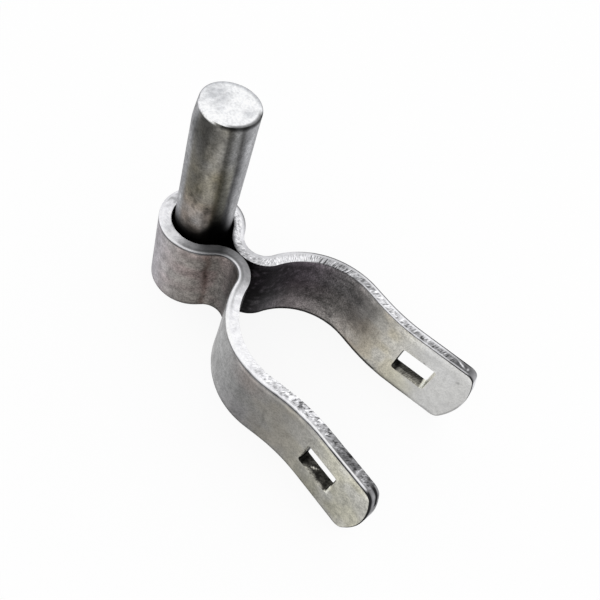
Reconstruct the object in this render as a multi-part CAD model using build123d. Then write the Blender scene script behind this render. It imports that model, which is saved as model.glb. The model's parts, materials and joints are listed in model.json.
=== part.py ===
from build123d import *
from math import atan2, degrees, pi, sqrt
import os

# A post hinge pin. A pressed steel strap is bent into a tight loop that holds an upright round
# pin, closes in behind it to a narrow throat, and opens into two arms that clasp a round post and
# end in two ears for one cross bolt. The pin stands on Z, the post lies on the +Y side of it, and
# the strap's lower edge is at Z 0. Sizes are in millimetres and degrees.

# Strap stock
strap_width = 25.4
strap_thickness = 3.5
edge_round = 0.4

# Pin
pin_diameter = 15.88
pin_length = 67.2
lead_length = 5.0
lead_inset = 0.5
pin_rim_round = 0.6

# Upset foot of the pin, gripped low in the loop
foot_length = 9.0
foot_chamfer = 0.6
foot_clearance = 0.05

# Loop and throat, with bend radii on the inside of each bend
loop_play = 0.75
throat_run = 1.6
throat_bend_radius = 5.6
throat_slit = 0.2

# Arms round the post
post_diameter = 41.28
clasp_past_half = 8.0
shoulder_run = 4.7
ear_bend_radius = 53.0

# Ears
ear_flare = 7.2
ear_length = 20.8
ear_dome_radius = 27.5
ear_corner_radius = 3.0
slot_setback = 16.9
slot_length = 10.6
slot_height = 9.6
slot_corner_radius = 0.6

# Radii of the strap's middle line in its four bends
half_thickness = strap_thickness / 2
pin_radius = pin_diameter / 2
loop_bore_radius = pin_radius + loop_play
loop_radius = loop_bore_radius + half_thickness
throat_radius = throat_bend_radius + half_thickness
post_radius = post_diameter / 2
arm_radius = post_radius + half_thickness
ear_radius = ear_bend_radius + half_thickness

# Centres of the throat bend and of the post, each circle tangent to the one before it
throat_x = throat_slit / 2 + half_thickness + throat_radius
throat_y = sqrt((loop_radius + throat_radius) ** 2 + throat_run**2 - throat_x**2)
post_y = throat_y + sqrt((throat_radius + arm_radius) ** 2 - throat_x**2)

# Headings of the strap where it leaves the loop and where it leaves the throat
leave_loop = degrees(atan2(throat_y, throat_x) + atan2(loop_radius + throat_radius, throat_run))
leave_throat = degrees(atan2(post_y - throat_y, -throat_x) - pi / 2)


def run_on(curve, length):
    """Straight line that carries a curve on along its end tangent."""
    return Line(curve @ 1, curve @ 1 + length * (curve % 1))


def turn_on(curve, radius, angle):
    """Arc that carries a curve on along its end tangent, to the left for a positive angle."""
    return JernArc(curve @ 1, curve % 1, radius, angle)


def strap_line(shift):
    """One arm's line from the back of the loop to the ear's end, shifted outward from the middle."""
    loop = JernArc((0, -loop_radius - shift), (1, 0), loop_radius + shift, leave_loop)
    inward = run_on(loop, throat_run)
    throat = turn_on(inward, throat_radius - shift, leave_throat - leave_loop)
    arm = turn_on(throat, arm_radius + shift, 90 + clasp_past_half - leave_throat)
    shoulder = run_on(arm, shoulder_run)
    ear_bend = turn_on(shoulder, ear_radius - shift, -clasp_past_half - ear_flare)
    ear = run_on(ear_bend, ear_length)
    return [loop, inward, throat, arm, shoulder, ear_bend, ear]


def ear_plane():
    """Plane of the ear's middle: X runs to its end, Y runs up, Z points outward."""
    ear = strap_line(0)[-1]
    along = ear % 0
    return Plane(origin=ear @ 0, x_dir=along, z_dir=(along.Y, -along.X, 0))


def arm_blank():
    """One arm at full width, with its ear still cut square."""
    outer = strap_line(half_thickness)
    inner = strap_line(-half_thickness)
    back = Line(outer[0] @ 0, inner[0] @ 0)
    end = Line(outer[-1] @ 1, inner[-1] @ 1)
    return extrude(make_face(outer + inner + [back, end]), strap_width)


def ear_offcut():
    """What the blanking die takes off the ear's end to leave it domed, with round corners."""
    sag = ear_dome_radius - sqrt(ear_dome_radius**2 - (strap_width / 2) ** 2)
    corner_x = ear_length - sag
    low, high = (corner_x, 0), (corner_x, strap_width)
    root_x = corner_x - 2 * ear_corner_radius
    dome = ThreePointArc(low, (ear_length, strap_width / 2), high)
    sides = Polyline(high, (root_x, strap_width), (root_x, 0), low)
    tongue = make_face([dome, sides])
    corners = tongue.vertices().sort_by(Axis.X)[-2:]
    tongue = fillet(corners, ear_corner_radius)
    reach = 2 * strap_thickness
    sheet = Pos((root_x + ear_length + reach) / 2, strap_width / 2) * Rectangle(
        ear_length + reach - root_x, strap_width
    )
    return extrude(ear_plane() * (sheet - tongue), reach, both=True)


def bolt_slot():
    """Cutter for the ear's slot, which takes the square neck of a carriage bolt."""
    slot = RectangleRounded(slot_length, slot_height, slot_corner_radius)
    place = Pos(ear_length - slot_setback, strap_width / 2)
    return extrude(ear_plane() * place * slot, 2 * strap_thickness, both=True)


def rim_edges(strap):
    """Edges round the two broad sides, without the smooth seams that cross the stock."""
    across = [ear_plane().z_dir, mirror_x(ear_plane().z_dir), Vector(0, 0, 1)]
    seams = [
        edge
        for edge in strap.edges().filter_by(GeomType.LINE)
        if any(abs(edge.tangent_at(0.5).dot(way)) > 0.999 for way in across)
    ]
    return strap.edges() - ShapeList(seams)


def mirror_x(vector):
    """The same vector on the other side of the strap."""
    return Vector(-vector.X, vector.Y, vector.Z)


def post_band():
    """The bent strap, with its edges rounded and its two slots punched."""
    arm = arm_blank() - ear_offcut()
    band = arm + mirror(arm, about=Plane.YZ)
    band = fillet(rim_edges(band), edge_round)
    slot = bolt_slot()
    return band - slot - mirror(slot, about=Plane.YZ)


def hinge_pin():
    """Round pin whose upset foot fills the loop and tapers to the free stretch above the strap."""
    foot_radius = loop_bore_radius - foot_clearance
    tip_radius = pin_radius - lead_inset
    outline = Polyline(
        (0, 0),
        (foot_radius - foot_chamfer, 0),
        (foot_radius, foot_chamfer),
        (foot_radius, foot_length),
        (pin_radius, strap_width),
        (pin_radius, pin_length - lead_length),
        (tip_radius, pin_length),
        (0, pin_length),
        close=True,
    )
    pin = revolve(make_face(Plane.XZ * outline), Axis.Z)
    return fillet(pin.edges().sort_by(Axis.Z)[-1], pin_rim_round)


os.makedirs("parts", exist_ok=True)
export_step(post_band(), "parts/post_band.step")
export_step(hinge_pin(), "parts/hinge_pin.step")
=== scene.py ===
# %% [markdown]
# This lesson dresses a post hinge pin: a strip of galvanised steel that is bent into a loop round
# an upright pin and opens into two arms that clasp a fence post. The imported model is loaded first
# as a fixed frame, because every surface below has to sit exactly where the solids are.

# %% Load the frame
import json

import bpy
import numpy as np
from mathutils import Euler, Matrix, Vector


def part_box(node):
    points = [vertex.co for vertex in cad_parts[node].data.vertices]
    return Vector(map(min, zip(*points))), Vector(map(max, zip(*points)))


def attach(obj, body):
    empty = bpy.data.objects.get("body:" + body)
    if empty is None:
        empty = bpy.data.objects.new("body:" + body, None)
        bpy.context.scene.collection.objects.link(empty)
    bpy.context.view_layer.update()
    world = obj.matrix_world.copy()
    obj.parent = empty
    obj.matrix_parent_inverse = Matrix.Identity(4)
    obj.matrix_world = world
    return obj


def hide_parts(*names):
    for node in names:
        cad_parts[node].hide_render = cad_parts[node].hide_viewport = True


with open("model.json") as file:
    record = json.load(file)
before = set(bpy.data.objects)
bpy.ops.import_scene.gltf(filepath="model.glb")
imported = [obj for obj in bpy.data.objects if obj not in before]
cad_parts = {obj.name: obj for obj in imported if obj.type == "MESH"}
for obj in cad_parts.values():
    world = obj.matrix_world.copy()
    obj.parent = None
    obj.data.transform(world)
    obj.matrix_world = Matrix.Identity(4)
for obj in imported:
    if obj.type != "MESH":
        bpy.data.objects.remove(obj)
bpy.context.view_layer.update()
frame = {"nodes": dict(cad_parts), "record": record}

MM = 0.001
mounts = {mount["name"]: mount for mount in frame["record"]["mounts"]}
print("nodes:", sorted(frame["nodes"]))

# %% [markdown]
# The camera comes before any surface, so that each one can be held against the photograph. The
# lens is close to the object, which makes the pin's top look wide and its foot narrow. The view is
# centred, so the camera needs no shift.

# %% Camera
IMAGE_WIDTH = 600
SENSOR_WIDTH = 36.0
focal_pixels = 662.4
camera_place = (97.89, 73.13, 169.16)
camera_turn_deg = (33.758, -15.230, 131.952)

camera_data = bpy.data.cameras.new("view_camera")
camera_data.sensor_width = SENSOR_WIDTH
camera_data.lens = focal_pixels / IMAGE_WIDTH * SENSOR_WIDTH
camera_data.clip_start = 0.01
camera = bpy.data.objects.new("view_camera", camera_data)
bpy.context.collection.objects.link(camera)
camera.location = np.array(camera_place) * MM
camera.rotation_euler = Euler(np.radians(camera_turn_deg))
bpy.context.scene.camera = camera
print("lens", round(camera_data.lens, 2), "mm")

# %% [markdown]
# The strap starts as a flat blank, and the press bends it. The middle of its thickness follows a
# chain of arcs and straights: round the pin, in to the throat, out round the post, and off along
# the ear. Two radii and the width are read from the frame, and the rest are the strap's own sizes
# in millimetres. Modelling it flat and bending it last keeps every edge and slot square to the
# steel, as the press does.

# %% Sizes of the strap
strap_low, strap_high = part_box("post_band")
strap_width = (strap_high[2] - strap_low[2]) / MM
pin_radius = mounts["hinge_pin"]["dims"]["r_mm"]
post_radius = mounts["post_clasp"]["dims"]["r_mm"]
half_thickness = 1.75
loop_play = 0.75
throat_run = 1.6
throat_bend_radius = 5.6
throat_slit = 0.2
shoulder_run = 4.7
ear_bend_radius = 53.0
ear_length = 20.8
clasp_past_half = np.radians(8.0)
ear_flare = np.radians(7.2)

loop_radius = pin_radius + loop_play + half_thickness
throat_radius = throat_bend_radius + half_thickness
arm_radius = post_radius + half_thickness
ear_radius = ear_bend_radius + half_thickness
print("strap width", round(strap_width, 2), "mm, loop radius", round(loop_radius, 2), "mm")

# %% Pieces of the middle line
throat_x = throat_slit / 2 + half_thickness + throat_radius
throat_y = np.sqrt((loop_radius + throat_radius) ** 2 + throat_run**2 - throat_x**2)
post_y = throat_y + np.sqrt((throat_radius + arm_radius) ** 2 - throat_x**2)
leave_loop = np.arctan2(throat_y, throat_x) + np.arctan2(loop_radius + throat_radius, throat_run)
leave_throat = np.arctan2(post_y - throat_y, -throat_x) - np.pi / 2
leave_arm = np.pi / 2 + clasp_past_half

# each piece of the middle line is (length, turn for each millimetre), with left turns positive
strap_pieces = [
    (loop_radius * leave_loop, 1 / loop_radius),
    (throat_run, 0.0),
    (throat_radius * (leave_loop - leave_throat), -1 / throat_radius),
    (arm_radius * (leave_arm - leave_throat), 1 / arm_radius),
    (shoulder_run, 0.0),
    (ear_radius * (clasp_past_half + ear_flare), -1 / ear_radius),
    (ear_length, 0.0),
]
arm_run = np.cumsum([length for length, turn in strap_pieces])[-1]
print("post centre", round(post_y, 3), "strap length", round(2 * arm_run, 1), "mm")


# %% Bend the blank
def middle_line(run):
    """Point and heading after a run along one arm: each piece adds its chord and its turn.

    A piece adds as much as the run reaches into it. The chord of an arc is its length times
    sin(a) / a, where a is half its turn, and it points along the heading halfway round.
    """
    x, y = np.zeros_like(run), np.full_like(run, -loop_radius)
    heading = np.zeros_like(run)
    start = 0.0
    for length, turn in strap_pieces:
        reach = np.clip(run - start, 0, length)
        half_turn = reach * turn / 2
        chord = reach * np.sinc(half_turn / np.pi)
        x += chord * np.cos(heading + half_turn)
        y += chord * np.sin(heading + half_turn)
        heading += reach * turn
        start += length
    return x, y, heading


def bend(blank):
    """Bends points (run, height, depth) of the flat blank: depth is measured square to the line.

    The far arm, with negative runs, is the mirror image of the near one.
    """
    run, height, depth = blank.T
    x, y, heading = middle_line(np.abs(run))
    side = np.where(run < 0, -1.0, 1.0)
    return np.stack([side * (x + depth * np.sin(heading)), y - depth * np.cos(heading), height], 1)


tip = bend(np.array([[arm_run, strap_width / 2, 0.0]]))[0]
print("near ear ends at", tip.round(2), "mm")

# %% [markdown]
# The flat blank has domed ends with small round corners and a rectangular slot near each end. Its
# broad side is laid out as grids that share their borders: one long grid in the middle, a ring of
# cells round each slot, and a fan of cells into each domed end. Every outline can be drawn a little
# further in or out, so the same functions give the rounded edges and the slot's walls. A Boolean
# cut would be quicker to write, but it leaves long thin faces that shade badly.

# %% Sizes of the ears and slots
ear_dome_radius = 27.5
ear_corner_radius = 3.0
slot_setback = 16.9
slot_half = np.array([5.3, 4.8])
slot_corner_radius = 0.6
ring_before, ring_after = 9.2, 8.8

slot_centre = np.array([arm_run - slot_setback, strap_width / 2])
ring_start, ring_end = slot_centre[0] - ring_before, slot_centre[0] + ring_after
corner_lift = strap_width / 2 - ear_corner_radius
dome_x = arm_run - ear_dome_radius
corner_x = dome_x + np.sqrt((ear_dome_radius - ear_corner_radius) ** 2 - corner_lift**2)

CORNER_STEPS = 8
DOME_STEPS = 40
ACROSS_STEPS = 2 * CORNER_STEPS + DOME_STEPS
RING_STEPS = 60
RING_LAYERS = 9
FAN_STEPS = 24
CELL = 0.42
MIDDLE_STEPS = int(2 * ring_start / CELL)
print("slot centre", slot_centre.round(2), "mm, cells along the middle", MIDDLE_STEPS)


# %% Outline of an ear's end
def ear_end(inset):
    """Outline of the ear's end moved in by an inset: corner arc, dome arc, corner arc.

    The angles don't depend on the inset, so shifted outlines match point for point.
    """
    lean = np.arctan2(corner_lift, corner_x - dome_x)
    low = np.linspace(-np.pi / 2, -lean, CORNER_STEPS, endpoint=False)
    dome = np.linspace(-lean, lean, DOME_STEPS, endpoint=False)
    high = np.linspace(lean, np.pi / 2, CORNER_STEPS + 1)
    middle = strap_width / 2
    arcs = [
        (corner_x, middle - corner_lift, ear_corner_radius - inset, low),
        (dome_x, middle, ear_dome_radius - inset, dome),
        (corner_x, middle + corner_lift, ear_corner_radius - inset, high),
    ]
    return np.concatenate([np.stack([x + r * np.cos(a), z + r * np.sin(a)], 1) for x, z, r, a in arcs])


print("points round an ear's end:", len(ear_end(0.0)))

# %% Outline of a slot
EDGE_CROWDING = 0.6


def rise():
    """Steps from 0 to 1 across the blank: even steps less a sine wave, so closer at both edges."""
    even = np.linspace(0, 1, ACROSS_STEPS + 1)
    return even - EDGE_CROWDING * np.sin(2 * np.pi * even) / (2 * np.pi)


def box_loop(low, high):
    """Rectangle from its low to its high corner as a loop of points, anticlockwise and open."""
    out = np.linspace(0, 1, RING_STEPS, endpoint=False)
    up = rise()[:-1]
    zero, one = np.zeros, np.ones
    sides = [
        np.stack([out, zero(RING_STEPS)], 1),
        np.stack([one(ACROSS_STEPS), up], 1),
        np.stack([1 - out, one(RING_STEPS)], 1),
        np.stack([zero(ACROSS_STEPS), 1 - up], 1),
    ]
    return np.asarray(low) + np.concatenate(sides) * (np.asarray(high) - low)


def slot_loop(outset):
    """The slot's outline moved out by an outset: a rectangle whose corners are pulled to arcs.

    A point of the rectangle keeps its nearest point of the inner core, and moves to one corner
    radius from it.
    """
    half = slot_half + outset
    radius = slot_corner_radius + outset
    sharp = box_loop(-half, half)
    core = np.clip(sharp, radius - half, half - radius)
    off = sharp - core
    return slot_centre + core + radius * off / np.linalg.norm(off, axis=1, keepdims=True)


print("points round a slot:", len(slot_loop(0.0)))

# %% Outline of the blank
FAN_CROWDING = 1.6
fan_share = 1 - np.linspace(1, 0, FAN_STEPS + 1) ** FAN_CROWDING
fan_runs = ring_end + (corner_x - ring_end) * fan_share
edge_runs = np.concatenate(
    [
        -fan_runs[:0:-1],
        np.linspace(-ring_end, -ring_start, RING_STEPS, endpoint=False),
        np.linspace(-ring_start, ring_start, MIDDLE_STEPS, endpoint=False),
        np.linspace(ring_start, ring_end, RING_STEPS, endpoint=False),
        fan_runs,
    ]
)


def blank_loop(inset):
    """The whole outline of the blank moved in by an inset, anticlockwise and open."""
    end = ear_end(inset)[1:-1]
    bottom = np.stack([edge_runs, np.full_like(edge_runs, inset)], 1)
    top = np.stack([edge_runs[::-1], np.full_like(edge_runs, strap_width - inset)], 1)
    return np.concatenate([bottom, end, top, (end * (-1, 1))[::-1]])


print("points round the blank:", len(blank_loop(0.0)))

# %% Broad sides
RING_CROWDING = 1.4


def closed(loop):
    """A loop with its first point repeated at its end."""
    return np.concatenate([loop, loop[:1]])


def broad_side(inset, near_outset, far_outset):
    """Grids of one broad side as arrays (i, j, 2), each right-handed seen from outside.

    A ring blends straight from the slot's outline to a rectangle round it, and a fan blends from
    the ring's end to the domed outline.
    """
    heights = inset + (strap_width - 2 * inset) * rise()
    runs = np.linspace(-ring_start, ring_start, MIDDLE_STEPS + 1)
    middle = np.stack(np.meshgrid(runs, heights, indexing="ij"), -1)
    frame_loop = closed(box_loop((ring_start, inset), (ring_end, strap_width - inset)))
    layer = (np.linspace(0, 1, RING_LAYERS + 1) ** RING_CROWDING)[:, None, None]
    slots = [closed(slot_loop(outset)) for outset in (near_outset, far_outset)]
    near, far = [slot * (1 - layer) + frame_loop * layer for slot in slots]
    fan_root = np.stack([np.full_like(heights, ring_end), heights], 1)
    fan = fan_root + fan_share[:, None, None] * (ear_end(inset) - fan_root)
    return [middle, near, fan] + [(grid * (-1, 1))[:, ::-1] for grid in (far, fan)]


print("grids of a broad side:", len(broad_side(0.0, 0.0, 0.0)))

# %% [markdown]
# A sheared edge isn't square. The blade rolls the outer corner over, cuts cleanly for a while, and
# leaves a small burr where the steel breaks. The same happens in the punched slots, and there the
# break also tears the wall open or shut. A Bevel modifier would round both corners alike, so the
# section of the edge is drawn once and carried round each outline instead.

# %% Sheared sections
edge_roll, edge_burr, edge_cut_steps = 0.35, 0.18, 10
slot_burr, slot_cut_steps = 0.12, 8
near_slot_roll, near_slot_break = 0.30, -0.12
far_slot_roll, far_slot_break = 0.12, 0.32
ROLL_POINTS, BURR_POINTS = 6, 5


def sheared_section(roll, burr, cut_steps):
    """Section of a sheared edge as (inset, depth): rolled arc outside, flat cut, small arc inside."""
    out = np.linspace(np.pi / 2, 0, ROLL_POINTS)
    back = np.linspace(0, np.pi / 2, BURR_POINTS)
    cut = np.linspace(half_thickness - roll, burr - half_thickness, cut_steps + 1)[1:-1]
    inset = np.concatenate([roll * (1 - np.cos(out)), 0 * cut, burr * (1 - np.cos(back))])
    rolled = half_thickness - roll * (1 - np.sin(out))
    burred = burr * (1 - np.sin(back)) - half_thickness
    return np.stack([inset, np.concatenate([rolled, cut, burred])], 1)


def swept(loops, depths):
    """Stacks one loop for each depth into a grid (loop, point, 3)."""
    rows = [np.column_stack([closed(loop), np.full(len(loop) + 1, d)]) for loop, d in zip(loops, depths)]
    return np.stack(rows)


def slot_wall(roll, torn_open):
    """Wall of a slot as a grid: a sheared section whose torn part opens with the square of depth."""
    inset, depth = sheared_section(roll, slot_burr, slot_cut_steps).T
    tear = torn_open * np.clip((half_thickness - depth) / (2 * half_thickness), 0, 1) ** 2
    return swept([slot_loop(i) for i in inset + tear], depth)


print("grid of a slot's wall:", slot_wall(near_slot_roll, near_slot_break).shape)


# %% All grids of the blank
def at_depth(grid, depth):
    """Adds a depth to a flat grid (i, j, 2)."""
    return np.concatenate([grid, np.full(grid.shape[:2] + (1,), depth)], -1)


def strap_grids():
    """All grids of the flat blank as (grid, edge weight, slot wall weight)."""
    edge = sheared_section(edge_roll, edge_burr, edge_cut_steps)
    outer = broad_side(edge_roll, near_slot_roll, far_slot_roll)
    inner = broad_side(edge_burr, slot_burr + near_slot_break, slot_burr + far_slot_break)
    grids = [(at_depth(grid, half_thickness), 0, 0) for grid in outer]
    grids += [(at_depth(grid, -half_thickness)[:, ::-1], 0, 0) for grid in inner]
    grids.append((swept([blank_loop(i) for i in edge[:, 0]], edge[:, 1]), 1, 0))
    grids.append((slot_wall(near_slot_roll, near_slot_break)[:, ::-1], 0, 1))
    grids.append((slot_wall(far_slot_roll, far_slot_break) * (-1, 1, 1), 0, 1))
    return grids


print("grids of the blank:", len(strap_grids()))

# %% [markdown]
# Real zinc is never perfectly smooth. A little lumpy noise, worked out from random values on a
# lattice, moves the skin by a few hundredths of a millimetre, and the torn part of the sheared
# edges by more. The same noise mottles the colours later on. Each call is given a seed, so the
# piece comes out the same each time.

# %% Lumpy noise
LATTICE = 48


def lumps(points, size, seed):
    """Smooth noise from -1 to 1: random values on a lattice of that size, blended smoothly."""
    table = np.random.default_rng(seed).random((LATTICE, LATTICE, LATTICE))
    cell = np.asarray(points) / size
    base = np.floor(cell).astype(int)
    part = cell - base
    part = part * part * (3 - 2 * part)
    total = np.zeros(len(cell))
    for corner in np.ndindex(2, 2, 2):
        weight = np.prod(np.where(corner, part, 1 - part), axis=1)
        total += weight * table[tuple(((base + corner) % LATTICE).T)]
    return 2 * total - 1


print("noise at one point:", lumps([[1.0, 2.0, 3.0]], 1.5, 1).round(3))

# %% [markdown]
# The grids meet along shared borders, and a mesh whose borders aren't joined shows seams. So the
# cells of all grids are numbered, and points that lie at one place become one point. Blender's
# Merge by Distance would do the same, but here each point also keeps a weight that tells an edge
# or a slot's wall from a broad side.

# %% Weld grids
PLACE_DIGITS = 5


def cells(shape, start):
    """Four-sided faces of a grid of that shape whose points are numbered from start."""
    number = start + np.arange(shape[0] * shape[1]).reshape(shape)
    corners = [number[:-1, :-1], number[1:, :-1], number[1:, 1:], number[:-1, 1:]]
    return np.stack(corners, -1).reshape(-1, 4)


def merged(points):
    """The first point at each place, and for every point the number of its place."""
    rounded = points.round(PLACE_DIGITS)
    first, place = np.unique(rounded, axis=0, return_index=True, return_inverse=True)[1:]
    return first, place.reshape(-1)


def weld(grids):
    """Joins grids where their points meet. Returns points, faces and one row of weights a point."""
    counts = [grid.shape[0] * grid.shape[1] for grid, *weights in grids]
    points = np.concatenate([grid.reshape(-1, 3) for grid, *weights in grids])
    weights = np.concatenate([np.tile(row, (n, 1)) for (grid, *row), n in zip(grids, counts)])
    starts = np.concatenate([[0], np.cumsum(counts)[:-1]])
    faces = np.concatenate([cells(grid.shape[:2], n) for (grid, *row), n in zip(grids, starts)])
    first, place = merged(points)
    return points[first], place[faces], weights[first].astype(float)


print("cells of a grid of 3 by 4 points:", len(cells((3, 4), 0)))


# %% Make a mesh
def mesh_piece(name, points, faces, attributes):
    """Makes a smooth mesh object at the origin from millimetre points, with point attributes."""
    mesh = bpy.data.meshes.new(name)
    whole = (np.roll(faces, -1, axis=1) != faces).all(axis=1)
    pinched = [list(dict.fromkeys(face)) for face in faces[~whole].tolist()]
    mesh.from_pydata((points * MM).tolist(), [], faces[whole].tolist() + pinched)
    for label, values in attributes.items():
        kind, field = ("FLOAT_VECTOR", "vector") if values.ndim == 2 else ("FLOAT", "value")
        layer = mesh.attributes.new(label, kind, "POINT")
        layer.data.foreach_set(field, values.astype(np.float32).ravel())
    mesh.polygons.foreach_set("use_smooth", np.ones(len(mesh.polygons), dtype=bool))
    mesh.update()
    piece = bpy.data.objects.new(name, mesh)
    bpy.context.collection.objects.link(piece)
    return piece


def triangles(piece):
    """Triangles of a piece: all corners of its faces, less two for each face."""
    return len(piece.data.loops) - 2 * len(piece.data.polygons)


print("points are in millimetres, and a mesh is in metres:", MM)

# %% [markdown]
# The tone changes along the strap. It stays light on the ears and along the arms, turns grey on
# the bends, and goes nearly black in the crook of the throat; this darkening towards the throat is
# painted shade. An image would need an unwrapped mesh. These broad changes follow the run along the
# strap, so a few stops for each side describe them, and every point of the mesh keeps its own colour.


# %% Blends
def along(run, stops):
    """Straight blend between (run, value) stops."""
    return np.interp(run, *zip(*stops))


def smooth(value, low, high):
    """Smooth step from 0 at low to 1 at high: 3 p squared less 2 p cubed of the share p."""
    part = np.clip((value - low) / (high - low), 0, 1)
    return part * part * (3 - 2 * part)


def fall(value, low, high):
    """Smooth step from 1 at low to 0 at high."""
    return 1 - smooth(value, low, high)


def band(value, start, full, fade, gone):
    """Rises smoothly from 0 at start to 1 at full, and falls from 1 at fade to 0 at gone."""
    return smooth(value, start, full) * fall(value, fade, gone)


def hump(value, centre, width):
    """Bell curve of height 1: e to the minus square of the distance in widths."""
    return np.exp(-(((value - centre) / width) ** 2))


print("a quarter of the way up a smooth step:", smooth(0.25, 0, 1))

# %% [markdown]
# The rolled corner of the near arm carries a painted highlight, with a painted line of shade just
# under it. The highlight lies partly on the edge and partly on the broad side, and past the throat it
# spreads down the side. So its place is measured over the corner: across the edge first, and then on down
# the side.
# Both surfaces can then ask the same two functions.

# %% Painted highlight and shade of the rolled corner
near_highlight_stops = [
    (-16, 0.88), (-2, 0.88), (2, 0.72), (6, 0.85), (14, 0.99), (18, 0.99), (20, 0.93), (22, 0.89),
    (24, 0.56), (26, 0.34), (30, 0.28), (33, 0.54), (36, 0.88), (41, 0.80), (44, 0.99), (107, 1.0),
    (110, 0.9),
]
highlight_top_stops = [
    (0, 1.55), (6, 1.6), (10, 1.95), (14, 1.85), (18, 1.55), (24, 1.45), (30, 1.6), (36, 1.5),
    (52, 1.5), (55, 2.4), (58, 2.75), (62, 2.1), (66, 1.56), (70, 1.33), (82, 1.32), (88, 1.43),
    (112, 1.44),
]
corner_shade_stops = [
    (6, 0.0), (10, 0.4), (14, 0.75), (18, 0.95), (22, 0.75), (46, 0.80), (52, 0.4), (58, 0.35),
    (62, 0.6), (66, 0.78), (70, 0.96), (82, 0.97), (88, 0.92), (94, 0.96), (110, 0.96),
]


def rolled_highlight(run, over):
    """Painted highlight on the near arm's rolled corner: 1 from its start to its top, 0 outside."""
    start = 0.92 + 0.28 * hump(run, 29, 4.5)
    return smooth(over - start, -0.12, 0.12) * fall(over - along(run, highlight_top_stops), -0.12, 0.12)


def corner_shade_line(run, over):
    """Painted line of shade just under the highlight: a bell curve, broader on the loop and on the arm.
    """
    broad = np.maximum(band(run, 60, 68, 84, 93), hump(run, 16, 5))
    below = over - along(run, highlight_top_stops)
    return along(run, corner_shade_stops) * hump(below, 0.28 + 0.14 * broad, 0.22 + 0.12 * broad)


print("rolled line and groove at 75 mm:", rolled_highlight(75, 1.1), corner_shade_line(75, 1.6).round(2))

# %% [markdown]
# The outer side is the one that the press rubs. It is light on the arm, darker towards the throat,
# where the shade in the bend is painted in, and wrinkled and creased where the strap turns in behind
# the pin. On the arm and the ear its lower part is painted darker as shade in places, and a strip
# along the floor darker still. Each step below multiplies the tone along the run by one such change.

# %% Tone of the outer side
# the dip from about 21 to 37 mm is painted shade in the bend of the throat
outer_tone_and_shade_stops = [
    (0, 0.46), (11, 0.56), (16, 0.45), (21, 0.27), (25, 0.18), (28, 0.17), (32, 0.19), (37, 0.11),
    (46, 0.66), (51, 0.70), (57, 0.60), (64, 0.43), (71, 0.26), (79, 0.27), (90, 0.36), (100, 0.47),
    (115, 0.58),
]
# painted shade on the far arm's rounded outer corner, on the edge and the side
far_rim_shade_stops = [
    (13, 0.0), (15, 0.75), (22, 0.75), (26, 0.40), (30, 0.05), (50, 0.05), (57, 0.80), (95, 0.86),
    (99, 0.95), (110, 0.95), (113, 0.2),
]
first_fold, second_fold = 26.9, 31.0
side_highlight_start = 14


def fold_run(blank):
    """Run of a fold, which leans a little with the height and wanders."""
    return np.abs(blank[:, 0]) + 0.05 * (blank[:, 1] - 12) + 0.5 * lumps(blank, 3.0, 20)


def crease(blank):
    """Dark crease where the strap turns in to the throat: a bell curve across the fold."""
    return hump(fold_run(blank), first_fold, 0.85) * (0.75 + 0.35 * lumps(blank, 2.6, 41))


def wrinkled(far_along):
    """Share of wrinkling, most at the tight bend."""
    return hump(far_along, 27, 12)


def outer_tone(blank):
    """Tone of the outer side: stops along the run, times folds, wrinkles, painted shade and the corner's
    painted highlight and shade.
    """
    run, height = blank[:, :2].T
    far_along = np.abs(run)
    high = smooth(height, 14, 21)
    over = half_thickness + strap_width - height
    tone = along(far_along, outer_tone_and_shade_stops)
    folds = (0.40 + 0.35 * hump(height, 14, 5)) * crease(blank)
    tone *= 1 - folds - 0.25 * hump(fold_run(blank), second_fold, 0.8)
    streaks = 0.22 * lumps(blank * (1, 0.12, 1), 1.1, 22) + 0.20 * lumps(blank, 0.9, 42)
    tone *= 1 + wrinkled(far_along) * streaks
    # painted light and shade: upper parts lighter and lower parts darker on the arm and the ear, and a
    # painted shadow along the floor
    tone *= 1 + 0.12 * high * hump(far_along, 72, 5) - 0.12 * fall(height, 4, 12) * hump(far_along, 76, 7)
    tone *= 1 + smooth(far_along, 92, 100) * (0.22 * high - 0.10 * smooth(far_along, 103, 107))
    tone *= 1 - 0.36 * fall(height, 3, 10) * hump(far_along, 100, 8)
    tone *= 1 - 0.35 * fall(height, 0.5, 1.5)
    # painted shade on the far arm's rounded top corner
    tone *= 1 - along(-run, far_rim_shade_stops) * smooth(height, strap_width - 1.3, strap_width - 0.6)
    tone += (along(run, near_highlight_stops) - tone) * rolled_highlight(run, over) * (run > side_highlight_start)
    tone *= 1 - corner_shade_line(run, over)
    pale = smooth(run, 64, 70) * (1 - 0.5 * smooth(run, 95, 100)) + 0.75 * hump(run, 27, 6)
    return tone * (1 + 0.6 * pale * hump(over, 2.9, 0.75))


def one_place(run, height, depth):
    """One point of the flat blank, to try a function on."""
    return np.array([[run, height, depth]], dtype=float)


print("outer tone on the near arm:", outer_tone(one_place(60, 12, half_thickness)).round(2))

# %% [markdown]
# The inner side lies against the post. By the throat it is painted nearly black as the shade of the
# crook, and it is light on the ear. Its lower part is lighter than its upper part up to the ear, a
# paler strip runs under the top edge, and a thin strip along the floor is painted dark as shade.

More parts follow.
